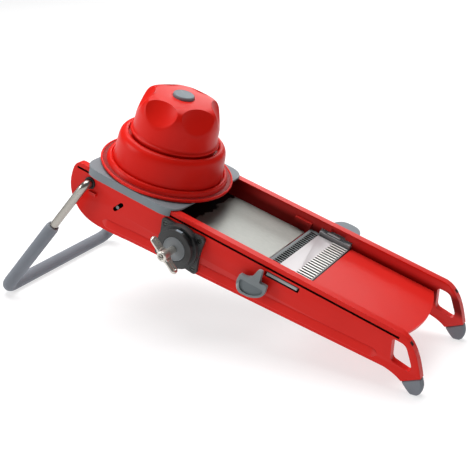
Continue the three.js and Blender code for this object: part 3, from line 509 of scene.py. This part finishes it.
# Points along corner points in space, each corner turned by an arc of its radius.
def bentPath(corners, radii, arcSteps=10, spacing=6.0):
    corners = np.asarray(corners, float)
    path = [corners[:1]]
    for i in range(1, len(corners) - 1):
        back = corners[i - 1] - corners[i]
        ahead = corners[i + 1] - corners[i]
        back, ahead = back / np.linalg.norm(back), ahead / np.linalg.norm(ahead)
        half = np.arccos(np.clip(back @ ahead, -1, 1)) / 2
        start = corners[i] + back * radii[i - 1] / np.tan(half)
        middle = (back + ahead) / np.linalg.norm(back + ahead)
        centre = corners[i] + middle * radii[i - 1] / np.sin(half)
        end = corners[i] + ahead * radii[i - 1] / np.tan(half)
        sweep = np.pi - 2 * half
        turn = np.linspace(0, sweep, arcSteps)[:, None]
        arc = (np.sin(sweep - turn) * (start - centre) + np.sin(turn) * (end - centre)) / np.sin(sweep)
        path.append(straightSteps(path[-1][-1], start, spacing))
        path.append(arc + centre)
    path.append(straightSteps(path[-1][-1], corners[-1], spacing))
    path.append(corners[-1:])
    path = np.concatenate(path)
    keep = np.ones(len(path), bool)
    keep[1:] = np.linalg.norm(np.diff(path, axis=0), axis=1) > 1e-3
    return path[keep]


def straightSteps(start, end, spacing):
    count = max(int(np.linalg.norm(end - start) / spacing), 1)
    return start + (end - start) * (np.arange(1, count) / count)[:, None]


# Rings of the given radii about a path: each ring's frame is the last one turned with the path.
def sweptGrid(path, radius, sides):
    tangent = np.gradient(path, axis=0)
    tangent /= np.linalg.norm(tangent, axis=1)[:, None]
    side = np.cross(tangent[0], [0.3, 0.2, 1.0])
    sidesAlong = []
    for direction in tangent:  # along the path only
        side = side - direction * (side @ direction)
        side = side / np.linalg.norm(side)
        sidesAlong.append(side)
    side = np.array(sidesAlong)
    other = np.cross(tangent, side)
    turn = np.linspace(0, 2 * np.pi, sides, endpoint=False)[None, :, None]
    radius = np.broadcast_to(np.asarray(radius, float), len(path))[:, None, None]
    return path[:, None] + radius * (np.cos(turn) * side[:, None] + np.sin(turn) * other[:, None])


def sweptPiece(name, path, radius, sides=28):
    grid = sweptGrid(path, radius, sides)
    return newPiece(name, grid.reshape(-1, 3), gridFaces(*grid.shape[:2], capEnds=True))


# A copy of a CAD node's mesh, merged and with its flat faces joined, as a new object.
def mergedCopy(node):
    mesh = frame["nodes"][node].data.copy()
    mesh.name = node + "_fine"
    working = bmesh.new()
    working.from_mesh(mesh)
    bmesh.ops.remove_doubles(working, verts=working.verts, dist=1e-5)
    bmesh.ops.dissolve_limit(working, angle_limit=radians(0.8), verts=working.verts,
                             edges=working.edges)
    working.to_mesh(mesh)
    working.free()
    mesh.validate()
    piece = bpy.data.objects.new(node + "_fine", mesh)
    bpy.context.scene.collection.objects.link(piece)
    return piece


# A merged copy of a CAD node whose hard edges are rounded, standing for the node.
def softened(node, bodyName, material, width, segments=3, angle=32.0):
    piece = mergedCopy(node)
    finishPiece(piece, bodyName, material, [node], sharpAngle=angle)
    bevel = piece.modifiers.new("edges", "BEVEL")
    bevel.width = width / 1000
    bevel.segments = segments
    bevel.limit_method = "ANGLE"
    bevel.angle_limit = radians(angle)
    bevel.harden_normals = True
    bevel.use_clamp_overlap = True
    bevel.miter_outer = "MITER_ARC"
    return piece


# ---- studio ----
studio = {"floor": 400.0, "floorTone": (0.42, 0.42, 0.425), "floorGlow": 0.66, "world": 0.12}


def addStudio():
    bpy.ops.mesh.primitive_plane_add(size=studio["floor"], location=(0, 0, -0.0005))
    floor = bpy.context.object
    floor.name = "studioFloor"
    material, _, _ = newMaterial(
        "paleFloor", Base_Color=(*studio["floorTone"], 1), Roughness=0.95, Specular_IOR_Level=0.0,
        Emission_Color=(1, 1, 1, 1), Emission_Strength=studio["floorGlow"])
    floor.data.materials.append(material)
    world = bpy.data.worlds.new("studioWorld")
    world.use_nodes = True
    world.node_tree.nodes["Background"].inputs["Color"].default_value = (1, 1, 1, 1)
    world.node_tree.nodes["Background"].inputs["Strength"].default_value = studio["world"]
    bpy.context.scene.world = world


# A square soft light of the given brightness, turned towards the target.
def addSoftbox(name, place, size, glow, target=(0.0, 0.0, 0.1)):
    data = bpy.data.lights.new(name, "AREA")
    data.shape, data.size, data.energy = "SQUARE", size, glow * np.pi * size ** 2
    light = bpy.data.objects.new(name, data)
    light.location = place
    light.rotation_euler = (Vector(target) - Vector(place)).to_track_quat("-Z", "Y").to_euler()
    bpy.context.scene.collection.objects.link(light)


addStudio()
addSoftbox("overheadBox", (-0.4, 0.4, 2.0), 1.7, 5.6)
addSoftbox("backBox", (-0.6, 2.2, 1.1), 1.2, 3.2)
addSoftbox("leftBox", (-1.5, -1.0, 0.8), 0.8, 7.5)
print("studio set")


# ---- bell guard ----
guard = {
    "lip": 67.9, "seat": 16.8, "shoulder": 53.8, "opening": 46.0, "inner": 50.6, "hangs": 47.2,
    "springSeat": 19.6, "sides": 192,
}


# Turned: lip, flat textured ring, raised bead, fine recess, then the wall rising to the shoulder.
def addGuard():
    lip, seat, top = guard["lip"], guard["seat"], guard["shoulder"]
    opening, inner = guard["opening"], guard["inner"]
    profile = softCorners([
        [guard["hangs"], seat, 0.3], [lip - 1.2, seat, 0.8], [lip, seat + 1.2, 0.8],
        [lip, seat + 3.2, 0.8], [lip - 1.5, seat + 3.7, 0.6], [lip - 2.1, seat + 2.7, 0.5],
        [lip - 6.0, seat + 2.9, 0.8], [lip - 6.5, seat + 5.4, 1.4], [lip - 7.7, seat + 7.8, 1.7],
        [lip - 10.0, seat + 7.9, 1.5], [lip - 10.8, seat + 6.4, 0.6], [lip - 11.3, seat + 5.7, 0.4],
        [lip - 11.7, seat + 6.4, 0.6], [inner + 5.3, seat + 11.2, 3.0], [inner + 3.7, top - 7.8, 6.0],
        [inner + 2.5, top - 3.4, 2.6], [inner - 0.4, top - 0.7, 2.2], [opening + 1.9, top, 1.2],
        [opening, top - 0.7, 0.7], [opening, top - 4.5, 0.3], [inner, top - 4.5, 0.3],
        [inner + 0.8, seat + 13.2, 1.0], [inner + 0.8, guard["springSeat"], 0.3],
        [guard["hangs"], guard["springSeat"], 0.3],
    ], steps=7)
    piece = turnedPiece("guardShell", profile, guard["sides"])
    finishPiece(piece, "bell", guardRed, ["bell_guard"], sharpAngle=50)
    ring = softCorners([
        [lip - 6.2, seat + 2.6, 0], [lip - 2.0, seat + 2.4, 0], [lip - 2.1, seat + 3.0, 0.2],
        [lip - 6.2, seat + 3.3, 0.2],
    ], steps=3)
    finishPiece(turnedPiece("guardRing", ring, guard["sides"]), "bell", ringRed)


spigot = {"bore": 46.2, "outer": 48.7, "tongue": 46.9, "low": 5.0, "high": 16.5, "tongueTop": 17.4}
holdingRing = {"bore": 49.0, "outer": 53.5, "low": 11.4, "high": 14.0}


# Turned: the spigot hangs from the guard's seat, and the ring under the carriage holds it in.
def addSpigot():
    bore, outer, tongue = spigot["bore"], spigot["outer"], spigot["tongue"]
    low, high, tongueTop = spigot["low"], spigot["high"], spigot["tongueTop"]
    profile = softCorners([[bore, low, 0.5], [outer, low, 0.5], [outer, high, 0.2], [tongue, high, 0.1],
                           [tongue, tongueTop, 0.1], [bore, tongueTop, 0.1]], steps=4)
    finishPiece(turnedPiece("spigot", profile, 128), "bell", redPlastic, ["guard_spigot"])
    bore, outer = holdingRing["bore"], holdingRing["outer"]
    low, high = holdingRing["low"], holdingRing["high"]
    profile = softCorners([[bore, low, 0.3], [outer, low, 0.5], [outer, high, 0.5], [bore, high, 0.3]],
                          steps=4)
    finishPiece(turnedPiece("holdingRing", profile, 128), "bell", blackPlastic,
                ["retaining_ring"])


addGuard()
addSpigot()
print("bell guard turned")

# ---- plunger ----
plunger = {
    "side": 42.3, "foot": 44.7, "wall": 2.6, "top": 97.0, "stop": 49.6, "stopTop": 48.7,
    "scoops": 6, "egg": (12.0, 24.0, 30.0), "lean": 34.0, "outside": 2.1, "below": 5.6, "rim": (0.30, 0.045),
    "rimDrop": (19.0, 9.0), "fade": (1.6, 0.3), "outerShare": 0.72, "rodHole": 4.3,
    "turns": 420, "step": 0.55,
    "cap": 10.6, "capTop": 100.2,
}


# More points along a closed profile, none further apart than step, keeping the ones it has.
def closerPoints(profile, step):
    closed = np.vstack([profile, profile[:1]])
    along = np.concatenate([[0], np.cumsum(np.linalg.norm(np.diff(closed, axis=0), axis=1))])
    wanted = np.union1d(along, np.arange(0, along[-1], step))
    wanted = wanted[np.concatenate([[True], np.diff(wanted) > 0.05])]
    points = np.stack([np.interp(wanted, along, closed[:, i]) for i in (0, 1)], axis=-1)
    return points[:-1] if np.linalg.norm(points[-1] - points[0]) < 0.05 else points


# Points inside each leaning egg go out to its surface; a smooth maximum rounds the rims.
def pressedByEggs(points):
    angles = 2 * np.pi * (np.arange(plunger["scoops"]) + 0.5) / plunger["scoops"]
    lean, half = radians(plunger["lean"]), np.array(plunger["egg"])
    for angle in angles:
        outward = np.array([cos(angle), sin(angle), 0])
        sideways = np.array([-sin(angle), cos(angle), 0])
        middle = outward * (plunger["side"] + plunger["outside"])
        middle[2] = plunger["top"] - plunger["below"]
        deep = outward * cos(lean) + np.array([0, 0, sin(lean)])
        long = np.array([0, 0, cos(lean)]) - outward * sin(lean)
        inside = (points - middle) @ np.stack([deep, sideways, long], axis=1) / half
        distance = np.linalg.norm(inside, axis=-1)
        rim = np.interp(points[..., 2], plunger["top"] - np.array(plunger["rimDrop"]), plunger["rim"])
        pushed = 1 + 0.5 * (distance - 1 + np.sqrt((distance - 1) ** 2 + rim ** 2))
        near = np.clip((plunger["fade"][0] - distance) / plunger["fade"][1], 0, 1)
        scale = 1 + (pushed / distance - 1) * near
        points = middle + (inside * scale[..., None] * half) @ np.stack([deep, sideways, long])
    return points


# Turned cup with a foot bead, a hidden stop flange and six finger scoops round its crown.
def addPlunger():
    side, top, foot = plunger["side"], plunger["top"], guard["shoulder"]
    inside, rodHole = side - plunger["wall"], plunger["rodHole"]
    outer = softCorners([
        [inside, plunger["stopTop"] - 2, 0], [plunger["stop"], plunger["stopTop"] - 2, 0.4],
        [plunger["stop"], plunger["stopTop"], 0.4], [side, plunger["stopTop"], 0.5],
        [side, foot + 0.2, 0.3], [plunger["foot"], foot + 0.9, 0.7], [plunger["foot"], foot + 2.6, 0.9],
        [side + 0.2, foot + 3.8, 1.6], [side - 0.4, top - 15, 8], [side - 1.9, top - 8, 4],
        [side - 5.3, top - 3.3, 4], [side - 11.3, top - 0.8, 4], [18, top, 4],
        [plunger["cap"] + 0.35, top, 0.3], [plunger["cap"] + 0.35, top - 1.2, 0.2], [rodHole, top - 1.2, 0],
    ], steps=7, closed=False)
    inner = np.array([[rodHole, top - 17], [9, top - 17], [9, top - 9], [26, top - 11], [31, top - 17],
                      [34, top - 27], [inside, top - 31]])
    profile = closerPoints(np.vstack([outer, inner]), plunger["step"])
    grid = turnedGrid(profile, plunger["turns"])
    crown = (grid[..., 2] > foot + 5) & (np.hypot(grid[..., 0], grid[..., 1]) > plunger["cap"] + 0.4)
    shell = crown & (np.arange(len(profile)) < len(profile) * plunger["outerShare"])[:, None]
    grid = np.where(shell[..., None], pressedByEggs(grid), grid)
    piece = newPiece("plungerShell", grid.reshape(-1, 3),
                     gridFaces(len(profile), plunger["turns"], closeRows=True))
    return finishPiece(piece, "plunger", redPlastic, ["plunger"], sharpAngle=60)


# Grey button in the crown, with a rounded rim and a faint dish.
def addCap():
    radius, top, seat = plunger["cap"], plunger["capTop"], plunger["top"] - 0.9
    profile = softCorners([
        [0.4, seat, 0], [radius, seat, 0.2], [radius, top - 0.9, 0.6], [radius - 1.2, top, 0.9],
        [radius - 2.2, top - 0.25, 0.5], [0.4, top - 0.15, 0],
    ], steps=6, closed=False)
    piece = discPiece("crownButton", profile, 96)
    return finishPiece(piece, "plunger", greyPlastic, ["plunger_cap"])


addPlunger()
addCap()
print("plunger pressed")

# ---- spring ----
spring = {"turns": 4, "wire": 0.8, "low": 20.7, "high": 45.6, "ring": 48.4, "steps": 40}


# Helix: height grows evenly with the turn.
def addSpring():
    turn = np.linspace(0, 2 * np.pi * spring["turns"], spring["turns"] * spring["steps"])
    rise = np.linspace(spring["low"], spring["high"], len(turn))
    path = np.stack([spring["ring"] * np.cos(turn), spring["ring"] * np.sin(turn), rise], axis=-1)
    piece = sweptPiece("springCoil", path, spring["wire"], sides=8)
    finishPiece(piece, "bell", brightSteel, ["return_spring"])
    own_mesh(piece)


# ---- leg ----
leg = {
    "pivot": (-46.0, -1.5), "angle": -112.8, "rod": 4.2, "sleeve": 6.9, "sleeveStart": 62.0,
    "splay": 17.0, "clear": 4.0, "topBend": 6.0, "bend": 11.0,
}


# Where a point along the arm lies, with its distance across given.
def onLeg(along, across):
    angle = radians(leg["angle"])
    return [leg["pivot"][0] + along * cos(angle), across, leg["pivot"][1] + along * sin(angle)]


# The arm's length is what brings the sleeve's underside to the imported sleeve's lowest point.
def legLength():
    perLength = placed(onLeg(1, 0))[2] - placed(onLeg(0, 0))[2]
    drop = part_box("leg_sleeve")[0][2] + leg["sleeve"] / 1000 - placed(onLeg(0, 0))[2]
    return drop / perLength


# One bent rod through both walls, and a rubber tube drawn over its foot with rolled ends.
def addLeg():
    length, outer = legLength(), body["outerY"] + leg["clear"] + leg["rod"]
    wide, share = outer + leg["splay"], leg["sleeveStart"] / length
    corners = [onLeg(0, -body["innerY"] - 1), onLeg(0, -outer), onLeg(length, -wide),
               onLeg(length, wide), onLeg(0, outer), onLeg(0, body["innerY"] + 1)]
    rod = sweptPiece("legRod", bentPath(corners, [leg["topBend"], leg["bend"], leg["bend"], leg["topBend"]]),
                     leg["rod"], sides=32)
    finishPiece(rod, "leg", brightSteel, ["leg_rod"])
    start = outer + leg["splay"] * share
    path = bentPath([onLeg(leg["sleeveStart"], -start), *corners[2:4], onLeg(leg["sleeveStart"], start)],
                    [leg["bend"], leg["bend"]], spacing=3.0)
    along = np.concatenate([[0], np.cumsum(np.linalg.norm(np.diff(path, axis=0), axis=1))])
    toEnd = np.minimum(along, along[-1] - along)
    radius = leg["sleeve"] - 0.9 * np.exp(-toEnd / 0.8)
    outerWall = sweptGrid(path, radius, 40)
    innerWall = sweptGrid(path, leg["rod"] + 0.25, 40)[::-1]
    grid = np.concatenate([outerWall, innerWall])
    piece = newPiece("legSleeve", grid.reshape(-1, 3), gridFaces(len(grid), 40, closeRows=True))
    finishPiece(piece, "leg", greyRubber, ["leg_sleeve"])


addSpring()
addLeg()
print("spring and leg swept")

# ---- thickness knob ----
knob = {
    "axis": (68.0, -14.5), "disc": 12.2, "discFace": -75.4, "discBack": -71.8, "shaft": 2.2, "hub": 5.2,
    "length": 41.0, "angle": -35.6, "wings": -91.0, "deep": 9.0, "rod": 2.0, "block": 14.0,
}


# Grey dial: a turned disc with a raised rim and a shallow dish.
def addDial():
    radius, face, back, bore = knob["disc"], knob["discFace"], knob["discBack"], knob["shaft"] + 0.3
    profile = softCorners([
        [bore, back, 0], [radius, back, 0.2], [radius, face + 0.5, 0.5], [radius - 0.9, face, 0.4],
        [radius - 1.5, face + 0.35, 0.3], [bore, face + 0.15, 0],
    ], steps=5)
    piece = turnedPiece("dialDisc", profile, 96, axis=knob["axis"])
    finishPiece(piece, "knob", dialGrey, ["knob_disc"])


# Two hairpins of rod on a turned hub, each out and back, with a rounded block cast between them.
def addHandle():
    x, z = knob["axis"]
    turn, row = radians(knob["angle"]), knob["deep"] / 2 - knob["rod"]
    face = knob["wings"] - knob["deep"] / 2
    hubProfile = softCorners([
        [2.3, knob["discFace"] - 0.4, 0], [3.6, knob["discFace"] - 0.4, 0.4], [4.0, knob["wings"] + 6.5, 2],
        [knob["hub"], knob["wings"] + 4.4, 1.5], [knob["hub"], face - 0.1, 0.7],
        [knob["hub"] - 0.9, face - 0.8, 0.5], [3.0, face - 0.8, 0.3], [2.4, face + 0.3, 0.2],
        [2.4, face + 2.4, 0],
    ], steps=6)
    hub = turnedPiece("handleHub", hubProfile, 64, axis=knob["axis"])
    finishPiece(hub, "knob", handleSteel, ["t_handle"])
    for side, name in ((-1, "handleWingLow"), (1, "handleWingHigh")):
        tip = side * (knob["length"] / 2 - knob["rod"])
        corners = [[x + along * cos(turn), y, z + along * sin(turn)] for along, y in (
            (side * 2.0, knob["wings"] - row), (tip, knob["wings"] - row),
            (tip, knob["wings"] + row), (side * 2.0, knob["wings"] + row))]
        path = bentPath(corners, [row * 0.96, row * 0.96], arcSteps=12, spacing=1.5)
        along = np.linalg.norm(path - path[0], axis=1)
        piece = sweptPiece(name, path, knob["rod"], sides=24)
        finishPiece(piece, "knob", handleSteel)
    half, thick = knob["block"] / 2, knob["rod"] + 0.5
    outline = softCorners([[-half, -thick, 1.2], [half, -thick, 1.2], [half, thick, 1.2],
                           [-half, thick, 1.2]], steps=6)
    depths = knob["wings"] + (knob["deep"] / 2 - 0.6) * np.array([-1.0, -1.0, -0.9, 0.9, 1.0, 1.0])
    shares = np.array([0.0, 0.85, 1.0, 1.0, 0.85, 0.0])[:, None]
    along, over = outline[:, 0] * shares, outline[:, 1] * shares
    grid = np.stack([x + along * cos(turn) - over * sin(turn), depths[:, None] + 0 * along,
                     z + along * sin(turn) + over * cos(turn)], axis=-1)[1:-1]
    block = newPiece("handleBlock", grid.reshape(-1, 3), gridFaces(*grid.shape[:2], capEnds=True))
    finishPiece(block, "knob", handleSteel)


addDial()
addHandle()
print("knob finished")

# ---- lower bead of each side wall ----
lowerLine = {"rearX": -28.0, "rearZ": -42.6, "turnX": 10.0, "turnZ": -40.5, "gripX": 289.0, "gripZ": -25.2}
bead = {"start": -24.0, "end": 281.0, "gap": 3.2, "height": 9.6, "proud": 0.45, "steps": 90}


# Height of a wall's lower edge: a shallow curve at the rear, then a straight rise to the grips.
def lowerEdge(x):
    turnX, turnZ = lowerLine["turnX"], lowerLine["turnZ"]
    slope = (lowerLine["gripZ"] - turnZ) / (lowerLine["gripX"] - turnX)
    bent = np.clip((x - lowerLine["rearX"]) / (turnX - lowerLine["rearX"]), 0, 1) ** 2
    curved = lowerLine["rearZ"] + (turnZ - lowerLine["rearZ"]) * bent
    return np.where(x > turnX, turnZ + (x - turnX) * slope, curved)


# A low band with rounded edges along the outside of the wall; its ends taper into the wall.
def addBead(side, name):
    x = np.linspace(bead["start"], bead["end"], bead["steps"])
    taper = np.clip(np.minimum(x - x[0], x[-1] - x) / 6, 0, 1) ** 0.5
    low = lowerEdge(x) + bead["gap"]
    share = np.array([0, 0, 0.04, 0.12, 0.88, 0.96, 1, 1])
    proud = np.array([-0.4, 0.0, 0.8, 1.0, 1.0, 0.8, 0.0, -0.4]) * bead["proud"]
    z = low[:, None] + (bead["height"] * (share[None] - 0.5)) * taper[:, None] + bead["height"] / 2
    y = side * (body["outerY"] + proud[None] * np.where(proud > 0, taper[:, None], 1))
    grid = np.stack([x[:, None] + 0 * z, y + 0 * z, z], axis=-1)
    piece = newPiece(name, grid.reshape(-1, 3), gridFaces(*grid.shape[:2], capEnds=True))
    finishPiece(piece, "root", redPlastic)


addBead(-1, "nearLowerBead")
addBead(1, "farLowerBead")

# ---- side walls ----
rail = {"round": 2.0, "fine": 0.3, "top": 13.0, "groove": 8.4, "rear": -56.0}
grip = {"start": 286.0, "nose": 313.0, "top": 8.5, "toe": -20.0}


# The long outline edges take a generous rounding, the slots and holes a fine one.
def softenWall(node):
    piece = mergedCopy(node)
    mesh = piece.data
    points = np.empty(len(mesh.vertices) * 3, np.float32)
    mesh.vertices.foreach_get("co", points)
    points = (points.reshape(-1, 3) - slicerOrigin) @ slicerAxes.T * 1000
    ends = np.empty(len(mesh.edges) * 2, np.int32)
    mesh.edges.foreach_get("vertices", ends)
    a, b = points[ends[0::2]], points[ends[1::2]]
    flat = np.abs(a[:, 1] - b[:, 1]) < 0.05  # lies in one face of the wall
    onFace = np.abs(np.abs(a[:, 1]) - body["outerY"]) < 0.05
    onFace |= np.abs(np.abs(a[:, 1]) - body["innerY"]) < 0.05
    x, z = (a[:, 0] + b[:, 0]) / 2, (a[:, 2] + b[:, 2]) / 2
    offGroove = np.abs(z - rail["groove"])
    atRear = (x < rail["rear"]) & (offGroove > 2)
    outline = (z > rail["top"]) | atRear | (z < lowerEdge(x) + 1.5)
    atGrip = (x > grip["start"]) & ((x > grip["nose"]) | (z > grip["top"]) | (z < grip["toe"]))
    weight = (flat & onFace & (outline | atGrip) & (offGroove > 1.4)).astype(np.float32)
    mesh.attributes.new("bevel_weight_edge", "FLOAT", "EDGE").data.foreach_set("value", weight)
    finishPiece(piece, "root", wallRedPaintedShade, [node], sharpAngle=32)
    for name, width, method, segments in (("outline", rail["round"], "WEIGHT", 4),
                                          ("details", rail["fine"], "ANGLE", 2)):
        bevel = piece.modifiers.new(name, "BEVEL")
        bevel.width, bevel.segments, bevel.limit_method = width / 1000, segments, method
        bevel.angle_limit = radians(40)
        bevel.harden_normals = True
        bevel.use_clamp_overlap = True
    return piece


softenWall("near_side_wall")
softenWall("far_side_wall")
print("walls finished")

# ---- CAD nodes that keep their own mesh ----
for node, material in {
    "cam_shaft": brightSteel, "near_guide_pin": pinSteel, "far_guide_pin": pinSteel,
    "plunger_rod": brightSteel, "index_window": windowPlastic,
}.items():
    mesh = frame["nodes"][node].data
    mesh.materials.clear()
    mesh.materials.append(material)

# ---- CAD nodes with rounded edges ----
softenedNodes = {  # node: (body, slot, material, edge radius)
    "rear_cross_member": ("root", "red_plastic", redPlastic, 0.6),
    "middle_cross_member": ("root", "red_plastic", shadedRed, 0.6),
    "near_foot": ("root", "grey_rubber", greyRubber, 1.6),
    "far_foot": ("root", "grey_rubber", greyRubber, 1.6),
    "tray": ("root", "red_plastic", trayRedPaintedShade, 0.8),
    "near_leg_bush": ("root", "black_plastic", blackPlastic, 0.5),
    "far_leg_bush": ("root", "black_plastic", blackPlastic, 0.5),
    "comb_bed": ("root", "grey_plastic", combGreyPaintedShade, 0.15),
    "knob_housing": ("root", "black_plastic", blackPlastic, 0.6),
    "handle_screw": ("knob", "brushed_steel", brightSteel, 0.2),
    "input_plate": ("plate", "brushed_steel", plateSteelPaintedReflection, 0.3),
    "plate_carrier": ("plate", "black_plastic", blackPlastic, 0.4),
    # painted shade: the julienne comb takes the dark screw steel so the bed's slots look shaded
    "julienne_comb": ("julienne", "brushed_steel", screwSteel, 0.12),
    "fan_lever": ("julienne", "grey_plastic", leverGrey, 0.6),
    "blade_plate": ("cassette", "blade_steel", bladeSteelPaintedLight, 0.2),
    "cassette_frame": ("cassette", "grey_plastic", latchGrey, 0.4),
    "cassette_pull": ("cassette", "grey_plastic", greyPlastic, 0.9),
    "carriage": ("carriage", "grey_plastic", greyPlastic, 3.2),
    "prong_disc": ("plunger", "black_plastic", blackPlastic, 0.3),
}
softenedNodes.update({
    f"housing_screw_{i}": ("root", "brushed_steel", screwSteel, 0.2) for i in (1, 2, 3, 4)})
for node, (bodyName, slotName, material, width) in softenedNodes.items():
    softened(node, bodyName, material, width)
print("castings softened")

bpy.context.scene.view_settings.view_transform = "Standard"
